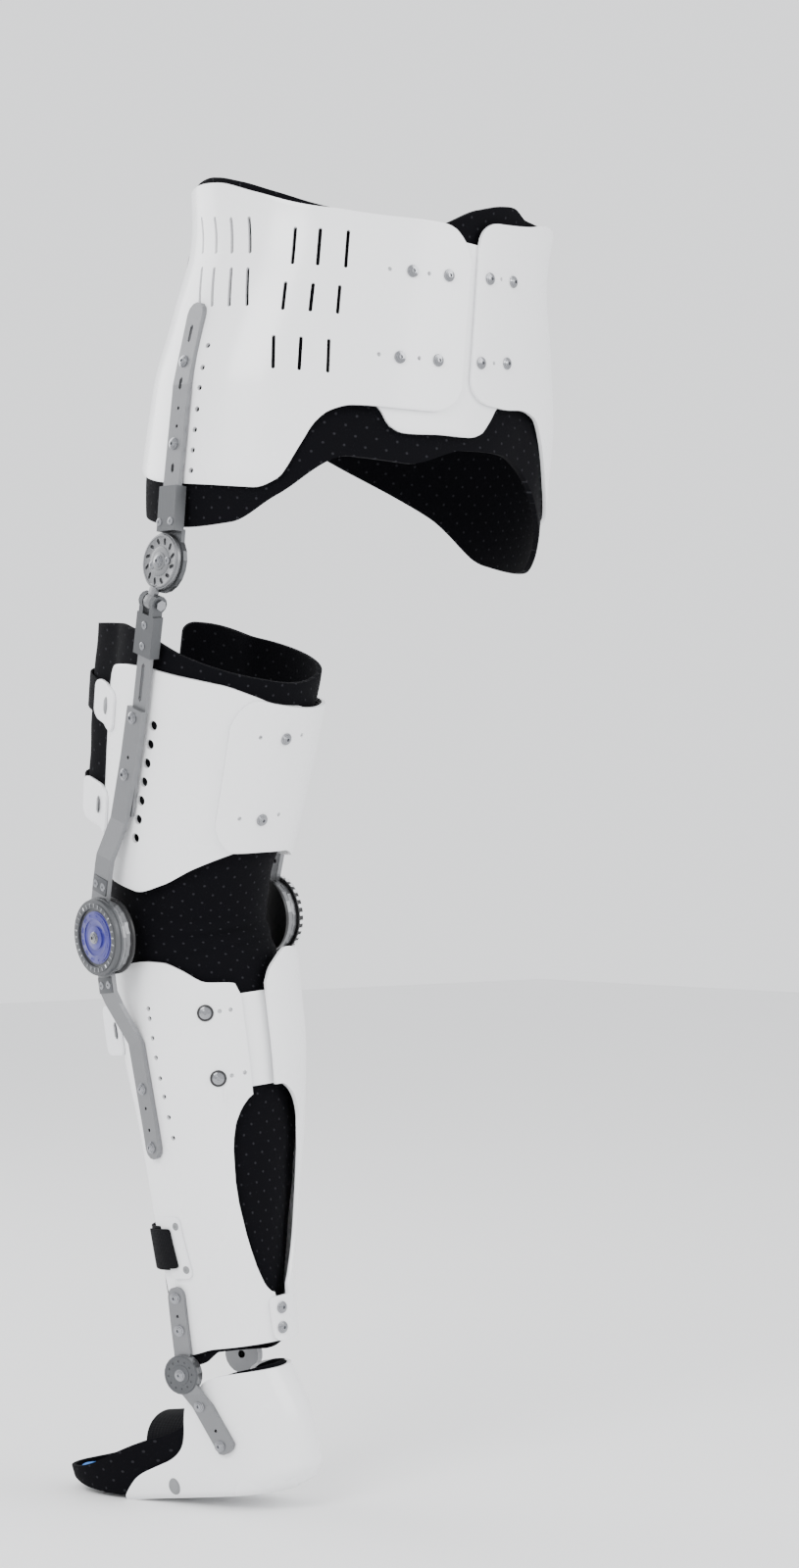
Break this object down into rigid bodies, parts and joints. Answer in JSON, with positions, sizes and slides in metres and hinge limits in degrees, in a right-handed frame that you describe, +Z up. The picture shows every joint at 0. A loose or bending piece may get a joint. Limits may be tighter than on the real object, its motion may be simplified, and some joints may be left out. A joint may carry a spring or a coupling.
{
  "type": "hip abduction brace",
  "caption": "Left hip, knee, ankle and foot brace: white shells over black liners on a pelvic band, joined by side bars with hinged hip, knee and ankle.",
  "frame": {"origin": "middle of the pelvic band, on the wearer's midline", "axes": "+X to the wearer's left, the braced side, +Y to the wearer's back, +Z up"},
  "size_m": [0.4411, 0.3772, 1.2063],
  "materials": {
    "shell_white": "glossy",
    "tab_white": "satin",
    "liner_black": "matt",
    "strap_black": "matt",
    "bar_grey": "satin",
    "housing_grey": "satin",
    "chrome": "polished",
    "hub_violet": "satin",
    "insole_blue": "matt"
  },
  "bodies": {
    "pelvis": {"pelvic_shell_left": "shell_white", "pelvic_shell_right": "shell_white", "lumbar_plate": "shell_white", "pelvic_liner": "liner_black", "lumbar_screw_1": "chrome", "lumbar_screw_2": "chrome", "lumbar_screw_3": "chrome", "lumbar_screw_4": "chrome", "lumbar_screw_5": "chrome", "lumbar_screw_6": "chrome", "lumbar_screw_7": "chrome", "lumbar_screw_8": "chrome", "pelvic_strap_upper": "strap_black", "pelvic_strap_lower": "strap_black", "hip_bar": "bar_grey", "hip_socket": "housing_grey"},
    "hip_link": {"hip_dial": "bar_grey"},
    "thigh": {"hip_clevis": "housing_grey", "clevis_bolt": "chrome", "thigh_slide_bar": "bar_grey", "knee_hub_lateral": "hub_violet", "knee_bar_upper_lateral": "bar_grey", "knee_hub_medial": "hub_violet", "knee_bar_upper_medial": "bar_grey", "thigh_shell_lateral": "shell_white", "thigh_shell_medial": "shell_white", "thigh_shell_screw_1": "chrome", "thigh_shell_screw_2": "chrome", "thigh_liner": "liner_black", "thigh_tab_upper_lateral": "tab_white", "thigh_tab_upper_medial": "tab_white", "thigh_strap_upper": "strap_black", "thigh_tab_lower_lateral": "tab_white", "thigh_tab_lower_medial": "tab_white", "thigh_strap_lower": "strap_black", "knee_liner": "liner_black"},
    "shank": {"knee_bar_lower_lateral": "bar_grey", "knee_bar_lower_medial": "bar_grey", "calf_shell_lateral": "shell_white", "calf_shell_medial": "shell_white", "calf_plate": "shell_white", "calf_plate_screw_1": "chrome", "calf_plate_screw_2": "chrome", "calf_seam_screw_1": "chrome", "calf_seam_screw_2": "chrome", "calf_liner": "liner_black", "calf_tab_lateral": "tab_white", "calf_tab_medial": "tab_white", "calf_strap_upper": "strap_black", "calf_loop": "tab_white", "calf_strap_lower": "strap_black", "ankle_bar_upper_lateral": "bar_grey", "ankle_bar_upper_medial": "bar_grey"},
    "foot": {"foot_shell": "shell_white", "foot_liner": "liner_black", "insole": "insole_blue", "foot_strap": "strap_black", "ankle_bar_lower_lateral": "bar_grey", "ankle_bar_lower_medial": "bar_grey"}
  },
  "joints": [
    {"name": "hip_flexion", "type": "hinge", "parent": "pelvis", "child": "hip_link", "pos_m": [0.22833, -0.012, -0.19759], "axis": [-0.9965, 0, -0.0837], "range_deg": [-28, 62]},
    {"name": "hip_abduction", "type": "hinge", "parent": "hip_link", "child": "thigh", "pos_m": [0.22929, -0.02319, -0.2329], "axis": [-0.0253, -0.9532, 0.3013], "range_deg": [-5, 35]},
    {"name": "knee_flexion", "type": "hinge", "parent": "thigh", "child": "shank", "pos_m": [0.21893, -0.11745, -0.53196], "axis": [0.9945, -0.0546, -0.0892], "range_deg": [-23, 67], "deforming": ["knee_liner"]},
    {"name": "ankle_flexion", "type": "hinge", "parent": "shank", "child": "foot", "pos_m": [0.15105, -0.08099, -0.93005], "axis": [-0.943, -0.3298, 0.0459], "range_deg": [-12, 20]}
  ]
}
